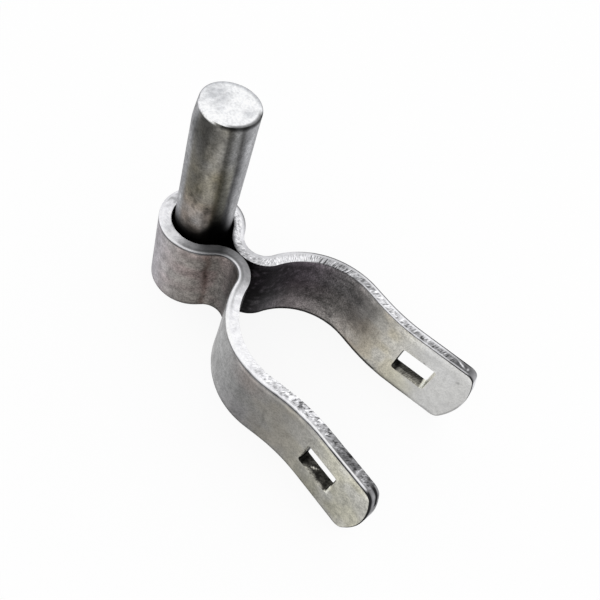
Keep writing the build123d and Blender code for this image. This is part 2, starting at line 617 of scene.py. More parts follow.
# %% Tone of the inner side
# the values near black towards the throat are painted shade of the crook
inner_tone_and_shade_stops = [
    (0, 0.03), (34, 0.003), (43, 0.011), (50, 0.035), (54, 0.064), (58, 0.088), (63, 0.082),
    (68, 0.11), (75, 0.148), (80, 0.21), (84, 0.40), (87, 0.49), (92, 0.58), (105, 0.65),
    (115, 0.63),
]
inner_low_stops = [
    (40, 0.0), (44, 0.045), (48, 0.127), (54, 0.112), (60, 0.145), (66, 0.175), (75, 0.165),
    (81, 0.13), (85, 0.0), (90, -0.06), (94, -0.10), (100, -0.09), (106, 0.0),
]
inner_high_stops = [
    (38, 1.3), (46, 1.2), (54, 1.5), (58, 0.8), (62, 0.75), (66, 0.60), (70, 1.2), (74, 0.70),
    (78, 0.9), (82, 0.25), (86, 0.10), (90, 0.45), (94, 0.50), (98, 0.25), (104, 0.20),
]


def crook(far_along):
    """Share of the dark crook of the throat, which ends on the arm."""
    return fall(far_along, 72, 88)


def inner_tone(blank):
    """Tone of the inner side: stops along the run for its middle, with painted shade in the crook, its
    low part and its top strip.
    """
    run, height = blank[:, :2].T
    far_along = np.abs(run)
    tone = along(far_along, inner_tone_and_shade_stops) + fall(height, 3, 11) * along(far_along, inner_low_stops)
    tone *= 1 + along(far_along, inner_high_stops) * smooth(height, strap_width - 3.2, strap_width - 0.9)
    tone *= 1 + crook(far_along) * (0.38 * lumps(blank, 3.2, 29) + 0.30 * lumps(blank, 1.1, 30))
    tone += 0.035 * hump(far_along, 47, 12) * smooth(lumps(blank, 1.0, 43), 0.2, 0.7)
    # painted shade along the floor, weaker on the ear
    tone *= 1 - (0.9 - 0.65 * smooth(far_along, 98, 106)) * fall(height, 0.8, 1.5)
    end_gap = ear_dome_radius - np.hypot(far_along - dome_x, height - strap_width / 2)
    tone *= 1 - 0.34 * fall(end_gap, 0.4, 0.8) * fall(height, 11, 15) * (far_along > ring_end)
    return tone


print("inner tone on the far ear:", inner_tone(one_place(-105, 12, -half_thickness)).round(2))

# %% [markdown]
# Zinc isn't one grey either. Rust shows through as brown at the wrinkles, the ears have an olive
# tinge, and the dark crook is a little purple. Each cast is a small change of red, green and blue,
# weighted by where it lies, so the tone and the tinge can be set apart from each other.

# %% Casts of the broad sides
brown_cast = (0.13, -0.055, -0.10)
olive_cast = (0.07, 0.0, -0.10)
green_cast = (0.0, 1.0, 0.0)
cool_cast = (-0.01, -0.03, 0.04)
purple_cast = (0.03, -0.11, 0.06)
rust_cast = (0.055, 0.0, -0.055)


def tinged(amount, cast):
    """Change of red, green and blue: an amount for each point, times one cast."""
    return amount[:, None] * cast


def outer_cast(blank, patch):
    """Casts of the outer side: brown at the wrinkles, olive to the ear, cool round the loop."""
    run, height = blank[:, :2].T
    far_along = np.abs(run)
    wrinkle = wrinkled(far_along)
    brown = wrinkle * (0.35 + 0.75 * patch) + 0.9 * crease(blank)
    brown += 0.4 * smooth(height, 14, 21) * hump(far_along, 71, 5)
    olive = smooth(far_along, 64, 84) * (0.75 + 0.1 * smooth(far_along, 90, 104)) * (0.65 + 0.7 * patch)
    olive += 0.5 * wrinkle * (1 - patch)
    green = 0.015 + 0.03 * smooth(far_along, 84, 100)
    cool = hump(far_along, 11, 6) + 0.5 * hump(far_along, 72, 6) * fall(height, 4, 14)
    cast = tinged(brown, brown_cast) + tinged(olive, olive_cast)
    return cast + tinged(olive * green, green_cast) + tinged(cool, cool_cast)


def inner_cast(blank, patch):
    """Casts of the inner side: purple and rust in the crook, olive on the arm, none at the tip."""
    run, height = blank[:, :2].T
    far_along = np.abs(run)
    brown = 0.3 * hump(far_along, 79, 6) * patch
    tip_side = smooth(far_along + 0.4 * (height - 12), 90, 104)
    olive = smooth(far_along, 68, 88) * (1 - 0.9 * tip_side) * (0.65 + 0.7 * patch)
    green = 0.015 + 0.03 * smooth(far_along, 84, 100) + 0.025 * hump(far_along, 78, 7)
    purple = crook(far_along) * (0.45 + 0.55 * smooth(height, 8, 16))
    purple *= 1 - 0.85 * smooth(far_along, 52, 70)
    rusty = crook(far_along) * smooth(far_along, 44, 54) * (1 - 0.6 * smooth(height, 13, 19))
    cast = tinged(brown, brown_cast) + tinged(olive, olive_cast) + tinged(olive * green, green_cast)
    return cast + tinged(purple, purple_cast) + tinged(rusty, rust_cast)


print("cast in the crook:", inner_cast(one_place(-45, 18, -half_thickness), np.ones(1)).round(3))

# %% Colour of the broad sides
# small knocks: run, height, length, width, strength; those on the far arm are on its inner side
dings = [
    (-110.0, 20.2, 0.5, 0.4, 0.6), (-99.6, 18.2, 0.35, 0.3, 0.6), (-101.2, 3.9, 0.5, 0.35, 0.45),
    (78.4, 13.6, 0.22, 2.6, 0.5), (79.0, 10.4, 0.22, 1.2, 0.4), (109.5, 5.2, 0.5, 0.5, 0.3),
]
slot_highlight_run = slot_centre[0] + 5.72
slot_highlight_tone = 0.95


def side_colour(blank):
    """Zinc colour of the broad sides: the side's tone, mottled and knocked, with a painted highlight
    beside the near slot, times its casts.
    """
    run, height, depth = blank.T
    far_along = np.abs(run)
    outside = depth > 0
    speckle = 0.05 + 0.08 * fall(far_along, 18, 26) * outside
    tone = np.where(outside, outer_tone(blank), inner_tone(blank))
    tone *= 1 + 0.09 * lumps(blank, 6.0, 21) + speckle * lumps(blank, 1.6, 19)
    for ding_run, ding_height, length, width, strength in dings:
        spot = hump(run, ding_run, length) * hump(height, ding_height, width)
        tone *= 1 - strength * spot * (outside == (ding_run > 0))
    # painted highlight on the outer side beside the near slot's lip
    slot_lip_highlight = hump(far_along, slot_highlight_run, 0.26) * band(height, 7.6, 8.2, 12, 13)
    tone += (slot_highlight_tone - tone) * slot_lip_highlight * (run > 0) * outside
    patch = smooth(lumps(blank, 4.0, 23), -0.4, 0.5)
    cast = np.where(outside[:, None], outer_cast(blank, patch), inner_cast(blank, patch))
    return tone[:, None] * (1 + cast)


print("colour on the near ear:", side_colour(one_place(108, 12, half_thickness)).round(2))

# %% [markdown]
# The top edge is bright where it is clean and grey where the blade tore it, and by the throat it is
# dark, partly with dirt and partly with the pin's reflection painted in, so its tone changes quickly
# along the run and differs on the two arms. A few large torn marks are placed one by one, because
# they catch the eye, and the small ones are left to noise.

# %% Torn edge
# from about 18 to 44 mm the edge is dark partly with dirt and partly with the pin's reflection, painted
# in
near_edge_and_reflection_stops = [
    (-16, 0.80), (-2, 0.80), (0, 0.72), (2, 0.70), (4, 0.86), (6, 0.98), (16, 0.99), (18, 0.68),
    (20, 0.43), (22, 0.38), (24, 0.21), (26, 0.10), (30, 0.055), (32, 0.16), (34, 0.25), (37, 0.30),
    (40, 0.33), (42, 0.35), (44, 0.58), (48, 0.90), (54, 0.98), (74, 0.98), (79, 0.97), (88, 0.84),
    (92, 0.60), (97, 0.45), (99, 0.20), (101, 0.14), (105, 0.20), (107, 0.30), (115, 0.28),
]
far_edge_stops = [
    (16, 0.98), (28, 0.98), (31, 0.76), (34, 0.64), (39, 0.66), (43, 0.84), (47, 0.96), (54, 0.92),
    (58, 0.54), (61, 0.52), (64, 0.42), (67, 0.58), (70, 0.44), (73, 0.56), (80, 0.78), (85, 0.88),
    (88, 0.82), (91, 0.66), (94, 0.60), (97, 0.58), (100, 0.42), (103, 0.26), (105, 0.22),
    (107, 0.13), (110, 0.11), (115, 0.50),
]
far_edge_start = -16

# torn marks on the edge: run, depth, half width, half length, lean, change of tone
edge_marks = [
    (74.2, -0.1, 0.25, 0.7, 0.7, -0.6), (85.3, -0.5, 0.5, 0.9, 0.95, -0.8),
    (106.0, -0.3, 0.22, 1.3, 0.1, 1.9), (98.0, -1.4, 0.8, 0.35, 0.0, 1.0),
    (89.8, -0.6, 0.3, 0.6, 0.5, -0.4), (79.0, -1.3, 1.5, 0.4, 0.0, -0.3),
    (-107.2, 0.30, 0.50, 0.50, 2.2, 9.0), (-109.6, 0.0, 0.32, 0.4, 0.0, 5.5),
    (-100.0, -0.5, 2.0, 0.5, 0.0, -0.4),
]


def torn_tone(blank):
    """Tone of the torn edge: stops along the run, times noise that grows to the ears, marks, and painted
    shade on the far arm's inner corner by the throat.
    """
    run, depth = blank[:, ::2].T
    far_run = -run
    tone = np.where(run > far_edge_start, along(run, near_edge_and_reflection_stops), along(far_run, far_edge_stops))
    rough = 0.30 + 0.70 * smooth(np.abs(run), 60, 84)
    tone *= 1 + rough * (0.42 * lumps(blank, 1.5, 24) + 0.36 * lumps(blank, 0.7, 25))
    tone *= 1 - 0.4 * hump(run, 1.5, 3.0) * smooth(lumps(blank, 0.8, 44), 0.0, 0.5)
    for mark_run, mark_depth, wide, tall, slant, change in edge_marks:
        leaning = run - slant * (depth - mark_depth)
        tone *= 1 + change * hump(leaning, mark_run, wide) * hump(depth, mark_depth, tall)
    # painted shade on the far arm's rounded inner corner by the throat
    tone *= 1 - 0.75 * fall(depth, -1.5, -0.6) * band(far_run, 16, 20, 31, 36)
    tone *= 1 - 0.22 * smooth(depth, 0.0, 0.6) * band(far_run, 40, 44, 54, 58)
    return np.clip(tone, 0.02, 0.98)


print("edge on the near ear:", torn_tone(one_place(100, strap_width, 0)).round(2))


# %% End of the ear
def ear_end_tone(blank):
    """Tone of the ears' ends: lumpy grey, lighter low down, with a black rim and a black patch."""
    run, height, depth = blank.T
    near = run > 0
    rim_side = np.where(near, depth - 0.85, -1.2 - depth)
    rim = 0.97 * smooth(rim_side, -0.2, 0.2) * np.where(near, 1.0, smooth(height, 13, 18))
    patch = smooth(height, 19.5, 20.5) * band(depth, -1.25, -0.95, -0.25, -0.05) * (run > corner_x - 0.8)
    tone = 0.24 + 0.2 * lumps(blank, 2.2, 26)
    tone += np.where(near, 0.35 * fall(height, 15, 21), 0.65 * fall(height, 22.5, 24.2))
    return np.clip(tone * (1 - rim) * (1 - 0.98 * patch), 0.02, 0.9)


print("end of the near ear:", ear_end_tone(one_place(arm_run, 8, 0)).round(2))

# %% Colour of the edge
# painted highlights along the rounded corners of the far arm and the far ear
far_highlight_stops = [
    (16, 0.50), (23, 0.55), (28, 0.92), (33, 0.66), (46, 0.72), (54, 0.74), (60, 0.66), (66, 0.55),
    (72, 0.92), (100, 0.95), (105, 0.55), (108, 0.2),
]
inner_highlight_tone = 0.80
edge_cast = np.array([0.99, 0.99, 1.02])


def edge_colour(blank):
    """Zinc colour of the sheared edge: its torn tone, crossed by painted highlights, painted lines of
    shade and other dark lines along it.

    The place over is the depth, carried on over the rounded corners by how far they drop.
    """
    run, height, depth = blank.T
    far_run, far_along = -run, np.abs(run)
    near = run > far_edge_start
    drop = np.clip(np.minimum(strap_width - height, height), 0, edge_roll) * (far_along < corner_x)
    over = depth + np.sign(depth) * drop
    tone = torn_tone(blank)
    # painted highlights along the rounded corners of both arms and on the far ear's inner corner
    line = np.where(near, along(run, near_highlight_stops), along(far_run, far_highlight_stops))
    tone += (line - tone) * np.where(near, rolled_highlight(run, over), hump(over, 1.0, 0.25))
    far_ear = smooth(far_run, 68, 76)
    tone += (inner_highlight_tone - tone) * 0.9 * hump(depth, -1.2, 0.2) * far_ear
    corner_shade = np.where(near, corner_shade_line(run, over), 0.0)
    scribe = 0.38 * hump(depth, 0.42, 0.28) * band(run, 17, 20, 50, 56)
    lip = 0.8 * fall(over, -1.65, -1.5) * smooth(far_run, 50, 60)
    # painted shade on the far arm's rounded outer corner
    rim = along(far_run, far_rim_shade_stops) * smooth(over, 1.22, 1.42)
    rim += 0.6 * hump(depth, -0.85, 0.14) * far_ear
    tone *= (1 - corner_shade) * (1 - scribe) * (1 - lip) * (1 - rim)
    tone += (ear_end_tone(blank) - tone) * smooth(far_along, corner_x - 0.6, corner_x + 0.8)
    # painted shade along the bottom edge, which faces the floor
    tone *= 1 - 0.75 * fall(height, 0.5, 2.0)
    return tone[:, None] * edge_cast


def edge_grit(blank):
    """How strongly torn strokes show on the edge: most towards the ears and on the inner part."""
    run, depth = blank[:, ::2].T
    far_run = -run
    grow = 0.10 + 0.90 * smooth(np.where(run > 0, run - 5, far_run), 58, 84)
    grow = np.where(far_run > 20, np.maximum(grow, 0.55 + 0.45 * smooth(far_run, 50, 58)), grow)
    grow = grow * np.where(far_run > 70, smooth(depth, -1.2, -0.95), 1.0)
    grow = grow * (1 - 0.8 * smooth(far_run, 104.5, 106))
    return grow * fall(depth, 0.35, 0.75) * fall(np.abs(run), corner_x, corner_x + 1)


print("edge colour on the near arm:", edge_colour(one_place(60, strap_width, 0)).round(2))

# %% [markdown]
# Inside the slots the steel is dark and torn, partly because the zinc hardly reached it and partly
# because the slot's own shade is painted in. The wall towards the ear's end catches the light as a
# bright lip, which is a painted highlight, and the rim is worn in places, so that the dark wall seems
# to start a little further in. The two slots differ, as they do on the real strap.

# %% Colour of the slot walls
wall_cast = np.array([1.05, 1.02, 0.90])


def slot_wear(blank, wavy):
    """Share of worn steel on a slot's walls: a wavy strip along the lower rim, and the near end."""
    run, height, depth = blank.T
    along_slot = np.abs(run) - slot_centre[0]
    below = smooth(slot_centre[1] - height, 4.3, 4.6) * band(along_slot, -4.0, -2.4, 3.6, 4.6)
    below *= np.where(run > 0, smooth(wavy, 1.25, 1.55), fall(wavy, -1.5, -1.2))
    end = fall(along_slot, -5.2, -4.7) * smooth(depth, 0.0, 0.6) * smooth(height, 8.8, 10.5) * (run > 0)
    return np.maximum(below, end)


def wall_colour(blank):
    """Zinc colour of the punched slots: lumpy dark steel partly darkened as painted shade, with a scrape,
    a painted highlight on the lip, and wear.
    """
    run, height, depth = blank.T
    near = run > 0
    along_slot = np.abs(run) - slot_centre[0]
    wavy = depth + 0.5 * lumps(blank * (1, 1, 0.2), 2.4, 39)
    # the dark base tone is partly the slot's own shade, painted in, and partly bare torn steel
    tone = np.where(near, 0.045, 0.05) * (1 + 0.6 * lumps(blank, 1.6, 28) + 0.4 * lumps(blank, 0.6, 40))
    scrape = 0.75 * hump(along_slot + 1.4 * (wavy - 0.2), -1.0, 0.32) * hump(wavy, 0.2, 0.55)
    tone += np.where(near, scrape, 0.16 * fall(wavy, -0.5, -0.2))
    tone *= 1 - 0.75 * fall(along_slot, -4.4, -3.0)
    # painted highlights on the lips towards the ear's end
    near_lip_highlight = smooth(along_slot, 4.7, 5.3) * smooth(depth, 1.0, 1.35) * fall(height, 12, 13.5)
    far_lip_highlight = smooth(along_slot, 4.2, 4.9) * (0.75 + 0.25 * fall(height, 10, 13))
    tone += 0.95 * np.where(near, near_lip_highlight, far_lip_highlight)
    tone += (np.where(near, 0.40, 0.45) - tone) * slot_wear(blank, wavy)
    return np.clip(tone, 0.008, 0.98)[:, None] * wall_cast


print("far slot's lip:", wall_colour(one_place(-slot_centre[0] - 5.3, 10, 0)).round(2))

# %% [markdown]
# Now the strap can be made. The welded points are moved a little by noise, coloured while they are
# still flat, and bent last. Besides the colour, each point keeps what the finish needs later: where
# torn strokes run and how strong they are, how much the zinc is mottled, and how chalky it is. The
# chalky part of the edge isn't shiny like metal, so it stays pale from every side.


# %% Skin of the strap
def torn_skin(blank, edge):
    """Moves the flat points: ripples square to the broad sides, and a ragged cut along the edge."""
    outside = blank[:, 2] / half_thickness
    torn = np.clip((0.25 - outside) * 2, 0, 1)
    grain = blank * (1.0, 1.0, 0.35)
    ripple = 0.030 * lumps(blank, 7.0, 3) + 0.012 * lumps(blank, 1.8, 4)
    ragged = 0.055 * lumps(grain, 0.9, 5) + 0.045 * lumps(grain, 2.3, 6)
    inward = np.where(blank[:, 1] > strap_width / 2, -1.0, 1.0)
    straight = np.abs(blank[:, 0]) < corner_x
    moved = blank.copy()
    moved[:, 2] += ripple * np.sign(outside)
    moved[:, 1] += edge * torn * inward * np.abs(ragged) * straight
    return moved


cut_place = one_place(60, strap_width, -1)
print("the cut moves by", (torn_skin(cut_place, np.ones(1)) - cut_place).round(3), "mm")


# %% Strokes, mottling and chalk
def stroke_place(blank):
    """Place in a slanting pattern of strokes across the edge, finer on the far arm."""
    run, height, depth = blank.T
    pitch = 1.0 + 0.5 * smooth(-run, 40, 58)
    return np.stack([pitch * run + 0.7 * depth, 0.7 / pitch**2 * depth, 0.7 * height], 1)


def grit_and_mottle(blank, edge, wall):
    """Strength of strokes and of mottling: strokes on edges and walls, mottling on broad sides."""
    run, depth = blank[:, ::2].T
    far_along = np.abs(run)
    lip = smooth(far_along - slot_centre[0], 4.2, 4.9)
    # the inner side by the throat, where the crook's shade is painted dark
    crook_inside = (1 - edge) * (1 - wall) * (depth < 0) * fall(far_along, 66, 84)
    grit = edge * edge_grit(blank) + 0.7 * wall * (1 - 0.8 * lip) + 0.55 * crook_inside
    far_tip = (1 - edge) * (depth < 0) * smooth(-run, 88, 100)
    bends = 0.8 * hump(far_along, 30, 8) - 0.3 * hump(far_along, 82, 9)
    mottle = (1 - 0.75 * edge) * (1.35 + 0.5 * crook_inside - 0.75 * far_tip)
    return grit, mottle * (1 + bends * (1 - edge) * (depth > 0))


def edge_chalk(blank, colour):
    """Share of chalky zinc on the edge: less round the loop, and all of it where the edge is dark."""
    run = blank[:, 0]
    chalk = 0.7 + 0.3 * band(run, 1, 5, 16, 20)
    chalk -= 0.7 * band(-run, 14, 17, 29, 34)
    chalk *= 1 - 0.9 * band(run, -4, -2, 11, 15)
    return chalk + (1 - chalk) * fall(colour.mean(axis=1), 0.04, 0.12)


loop_place = one_place(0, strap_width, 0)
print("chalk at the back of the loop:", edge_chalk(loop_place, np.ones((1, 3))).round(2))


# %% Strap
def strap_surface():
    """Points, faces and attributes of the bent strap."""
    blank, faces, weights = weld(strap_grids())
    edge, wall = weights.T
    colour = side_colour(blank)
    colour += (edge_colour(blank) - colour) * edge[:, None]
    colour += (wall_colour(blank) - colour) * wall[:, None]
    grit, mottle = grit_and_mottle(blank, edge, wall)
    marks = {
        "zinc": np.clip(colour, 0.002, 0.99),
        "stroke": stroke_place(blank),
        "grit": grit,
        "mottle": mottle,
        "chalk": edge * edge_chalk(blank, colour),
    }
    return bend(torn_skin(blank, edge)), faces, marks


strap_points, strap_faces, strap_marks = strap_surface()
strap = mesh_piece("galvanised_strap", strap_points, strap_faces, strap_marks)
print("strap:", len(strap_points), "points,", triangles(strap), "triangles")

# %% [markdown]
# The pin is cropped from round bar. The crop presses one side of the end inwards before the bar
# breaks, so the end is round on one side and leans in on the other. A cylinder with a bevel would
# be the same all round. So its surface is a radius that depends on the height and the angle, from
# the foot in the loop to the flat end.

# %% Profile of the pin
pin_low, pin_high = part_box("hinge_pin")
pin_length = pin_high[2] / MM
foot_clearance = 0.05
foot_chamfer = 0.6
foot_length = 9.0
foot_radius = loop_radius - half_thickness - foot_clearance
rim_radius = 0.3
SHANK_STEPS, RIM_STEPS, FACE_STEPS = 90, 8, 18


def pin_profile():
    """Heights and radii up the outside: foot, taper to the free stretch, bar, rim arc, end face."""
    bevel = [[0.0, 0.0], [0.0, foot_radius - foot_chamfer], [foot_chamfer, foot_radius]]
    foot = np.array(bevel + [[foot_length, foot_radius]])
    rim_base = pin_length - rim_radius
    shank = np.linspace([strap_width, pin_radius], [rim_base, pin_radius], SHANK_STEPS)
    turn = np.linspace(0, np.pi / 2, RIM_STEPS)[1:]
    rim_heights = pin_length - rim_radius * (1 - np.sin(turn))
    rim_radii = pin_radius - rim_radius * (1 - np.cos(turn))
    rim = np.stack([rim_heights, rim_radii], 1)
    face = np.linspace([pin_length, pin_radius - rim_radius], [pin_length, 0.0], FACE_STEPS)[1:]
    return np.concatenate([foot, shank, rim, face])


print("pin's box in metres:", np.round(pin_low, 4), np.round(pin_high, 4))

# %% Surface of the pin
crop_angle = np.radians(-42.0)
crop_depth = 0.80
crop_length = 6.0
crop_focus, crop_growth = 4, 1.3
PIN_TURNS = 160


def turned(angle, radius, height):
    """Grid of points from their angle round Z, their radius and their height."""
    return np.stack([np.cos(angle) * radius, np.sin(angle) * radius, height], -1)


def pin_surface():
    """Turns the profile round Z, with the crop's lean and a little unevenness on the radius.

    The lean grows with a power of the height above the crop's start, on the side that faces it.
    """
    profile_height, profile_radius = pin_profile().T
    angles = np.linspace(0, 2 * np.pi, PIN_TURNS, endpoint=False)
    height, angle = np.meshgrid(profile_height, angles, indexing="ij")
    radius = np.repeat(profile_radius[:, None], PIN_TURNS, 1)
    climb = np.clip((height - pin_length + crop_length) / crop_length, 0, 1)
    facing = ((1 + np.cos(angle - crop_angle)) / 2) ** crop_focus
    lean = 1 - crop_depth / pin_radius * facing * climb**crop_growth
    even = turned(angle, radius, height).reshape(-1, 3)
    uneven = 0.05 * lumps(even * (1, 1, 0.4), 5.0, 11) + 0.02 * lumps(even * (1, 1, 0.6), 1.5, 12)
    free = np.clip(radius / pin_radius, 0, 1) * (height > strap_width)
    grid = turned(angle, radius * lean + uneven.reshape(radius.shape) * free, height)
    on_face = (height >= pin_length - 1e-6).astype(float)
    dents = lumps(even, 3.0, 13).reshape(height.shape)
    grid[..., 2] -= on_face * (0.04 + 0.04 * dents)
    return grid, on_face


print("grid of the pin:", pin_surface()[0].shape)

# %% [markdown]
# The bar's colour runs in streaks along it: painted reflections of the strap's arms, of the floor
# between them and of darker surroundings, which drift with the height as reflections do. The stops
# below go round the bar by the angle, and a few marks, stains and painted shade low in the loop are
# laid over them. The cropped end is bare and bright, with grey scuffs.

# %% Colour of the bar
# painted reflections round the bar: dark bands where the arms and darker surroundings are mirrored, light
# ones where the floor is
pin_reflection_stops = [
    (-60, 0.42), (-33, 0.46), (-20, 0.31), (-10, 0.18), (4, 0.12), (14, 0.13), (24, 0.21),
    (36, 0.29), (44, 0.25), (50, 0.09), (55, 0.10), (65, 0.25), (70, 0.22), (77, 0.14), (86, 0.32),
    (97, 0.52), (150, 0.40),
]

# marks on the bar: angle in degrees, height, half width of the angle, half height, change of tone
bar_marks = [
    (9, 37.4, 11, 3.8, 1.0), (39, 37.2, 9, 4.2, -0.58), (9, 32.3, 7, 1.4, -0.45),
    (-25, 38.0, 8, 6.0, 0.45), (24, 44.5, 8, 2.4, -0.35), (30, 56.5, 5, 2.2, 0.25),
    (66, 43.5, 9, 4.5, -0.38), (43, 48.5, 5, 2.6, -0.35), (-18, 62.5, 10, 3.6, -0.55),
    (35, 62.5, 9, 2.6, -0.25), (44, 33.0, 5, 1.6, 0.8), (19, 29.8, 10, 1.3, -0.6),
    (88, 64.5, 7, 3.5, -0.28), (-28, 62.0, 4, 1.5, -0.35),
]


def bar_turn(points):
    """Angle round the bar in degrees, counted so that the seam lies behind."""
    return (np.degrees(np.arctan2(points[:, 1], points[:, 0])) + 120) % 360 - 120


def bar_tone(points):
    """Tone of the bar: painted reflections round it that drift and wander, times marks, grain, stains,
    and painted shade low in the loop and under the burr.
    """
    height, turn = points[:, 2], bar_turn(points)
    # the dark bands drift with the height, as reflections do
    drift = 0.22 * (58 - height) * band(turn, 30, 60, 75, 100)
    wander = 3.0 * lumps(points * (1, 1, 0.4), 4.0, 30)
    tone = along(turn - drift + wander, pin_reflection_stops)
    front = band(turn, -25, -5, 22, 48)
    tone *= 1 - 0.45 * front * smooth(height, 52, 61)
    tone *= 1 + 0.4 * front * fall(height, 35, 44)
    for mark_turn, mark_height, wide, tall, change in bar_marks:
        tone *= 1 + change * hump(turn, mark_turn, wide) * hump(height, mark_height, tall)
    tone *= 1 + 0.17 * lumps(points * (1, 1, 0.15), 0.9, 31) + 0.20 * lumps(points * (1, 1, 0.6), 3.0, 32)
    stain = smooth(lumps(points * (1, 1, 0.8), 1.7, 33) + 0.5 * lumps(points, 0.7, 38), 0.3, 0.9)
    tone *= 1 - 0.45 * stain * band(turn, -16, -6, 40, 70) * fall(height, 40, 60)
    tone *= 1 + 0.25 * smooth(lumps(points, 1.2, 37), 0.3, 0.7)
    # painted shade of the loop low on the pin, reaching higher on the side towards the throat
    side = hump(turn, 68, 25)
    shade_height = strap_width + 2.8 + 4.5 * side
    tone *= 0.02 + 0.98 * smooth(height, shade_height - 0.9, shade_height + 3.8 + 9.0 * side)
    # painted shadow under the burr on the front rim
    burr = band(turn, 22, 34, 120, 138) * smooth(height, pin_length - 1.1, pin_length - 0.5)
    return tone * (1 - 0.85 * burr)


print("front of the bar:", bar_tone(np.array([[pin_radius, 0.0, 50.0]])).round(2))

# %% Casts of the bar
high_rust_cast = np.array([0.13, 0.03, -0.22])
low_rust_cast = np.array([0.13, -0.02, -0.13])
bar_cool_cast = (-0.02, -0.01, 0.05)
drab_cast = (0.05, 0.03, -0.10)
bar_lip_tone = 0.95


def pin_colour(points):
    """Zinc colour of the bar: its tone with a bright lip at the rim, times rust, cool and drab casts."""
    height, turn = points[:, 2], bar_turn(points)
    lip = band(turn, -50, -38, 15, 24) * smooth(height, pin_length - 0.75, pin_length - 0.35)
    tone = bar_tone(points)
    tone += (bar_lip_tone - tone) * lip
    centre = band(turn, -24, -8, 46, 64) * (0.35 + 0.65 * fall(height, 46, 60))
    warm = np.clip(centre * (0.85 + 0.6 * lumps(points, 3.0, 34)) * (1 - lip), 0, 1)
    low = fall(height, 36, 45)
    cool = 0.6 * fall(turn, -24, -8) + 0.6 * smooth(turn, 70, 84)
    drab = band(turn, 44, 54, 68, 78) * fall(height, 50, 58)
    cast = tinged(warm * (1 - low), high_rust_cast) + tinged(warm * low, low_rust_cast)
    cast += tinged(cool, bar_cool_cast) + tinged(drab, drab_cast)
    return tone[:, None] * (1 + cast)


print("colour of the bar's front:", pin_colour(np.array([[pin_radius, 0.0, 40.0]])).round(2))

# %% Colour of the cropped end
# scuffs on the cropped end: place, half sizes, strength
end_scuffs = [(-0.2, -4.0, 3.0, 2.4, 0.50), (-1.8, 4.8, 1.6, 1.0, 0.30), (2.5, -1.0, 1.2, 2.0, 0.16)]
end_cast = np.array([0.985, 0.99, 1.0])
scuff_cast = (-0.05, -0.02, 0.05)


def end_colour(points):
    """Colour of the cropped end: white less a dullness of scuffs, with a painted shadow under the burr on
    its front rim.
    """
    turn = bar_turn(points)
    out = np.hypot(points[:, 0], points[:, 1])
    streak = 0.5 + 0.5 * lumps(points * (0.6, 1.5, 1.0), 1.1, 35)
    fine = 0.5 + 0.5 * lumps(points, 0.6, 36)
    dull = 0.02 + 0.14 * fine**3
    for x, y, wide, deep, strength in end_scuffs:
        scuff = hump(points[:, 0], x, wide) * hump(points[:, 1], y, deep)
        dull = dull + strength * scuff * (0.4 + 0.9 * streak)
    back = smooth(turn, 130, 160) + fall(turn, -70, -45)
    dull += 0.40 * smooth(out, 6.6, 7.5) * back
    tone = np.clip(1.0 - dull, 0.1, 1.0)
    # painted shadow under the burr on the front rim
    tone *= 1 - 0.85 * band(turn, 34, 52, 118, 138) * smooth(out, 6.9, 7.3)
    return tone[:, None] * (end_cast + tinged(dull, scuff_cast))


print("middle of the end:", end_colour(np.array([[0.0, 0.0, pin_length]])).round(2))


# %% Pin
def pin_mesh():
    """Closes the turned grid, welds it, and gives its points, faces and attributes."""
    grid, on_face = pin_surface()
    wrapped = np.concatenate([grid, grid[:, :1]], 1)
    points = wrapped.reshape(-1, 3)
    crop = np.concatenate([on_face, on_face[:, :1]], 1).reshape(-1)
    first, place = merged(points)
    points, crop = points[first], crop[first]
    colour = pin_colour(points)
    colour += (end_colour(points) - colour) * crop[:, None]
    zero = np.zeros(len(points))
    marks = {
        "zinc": np.clip(colour, 0.002, 0.99),
        "stroke": points,
        "grit": zero,
        "mottle": 1.4 - 0.75 * crop,
        "chalk": zero,
    }
    return points, place[cells(wrapped.shape[:2], 0)[:, ::-1]], marks


pin_points, pin_faces, pin_marks = pin_mesh()
pin = mesh_piece("cropped_pin", pin_points, pin_faces, pin_marks)
print("pin:", len(pin_points), "points,", triangles(pin), "triangles")

# %% [markdown]
# A material in Blender is a graph of nodes, and each link carries a number, a colour or a
# direction. Building it by hand is easy to see but slow to repeat, so a few small functions each
# add one kind of node and give back its output. A constant is set on the socket itself, which
# saves a node.


# %% Node helpers
def add_node(tree, kind, sockets=None, **settings):
    """Adds a shader node, sets its fields, and fills or links its sockets."""
    made = tree.nodes.new(kind)
    for field, value in settings.items():
        setattr(made, field, value)
    for socket, value in (sockets or {}).items():
        if isinstance(value, bpy.types.NodeSocket):
            tree.links.new(value, made.inputs[socket])
        else:
            made.inputs[socket].default_value = value
    return made


def noise(tree, vector, scale, detail, roughness=0.55):
    """Cloudy noise between 0 and 1."""
    sockets = {"Vector": vector, "Scale": scale, "Detail": detail, "Roughness": roughness}
    return add_node(tree, "ShaderNodeTexNoise", sockets).outputs["Fac"]


def between(tree, value, low, high):
    """Rises from 0 to 1 as a value goes from low to high."""
    sockets = {"Value": value, "From Min": low, "From Max": high}
    made = add_node(tree, "ShaderNodeMapRange", sockets, interpolation_type="SMOOTHSTEP")
    return made.outputs["Result"]


def calc(tree, operation, *values):
    """One step of arithmetic on two or three values."""
    return add_node(tree, "ShaderNodeMath", dict(enumerate(values)), operation=operation).outputs[0]


def centred(tree, value):
    """Spreads the middle range of a noise from -0.5 to 0.5."""
    return calc(tree, "SUBTRACT", between(tree, value, 0.3, 0.7), 0.5)


def attribute(tree, label):
    """A point attribute of the mesh."""
    return add_node(tree, "ShaderNodeAttribute", attribute_name=label)


print("attributes of the strap:", sorted(strap_marks))

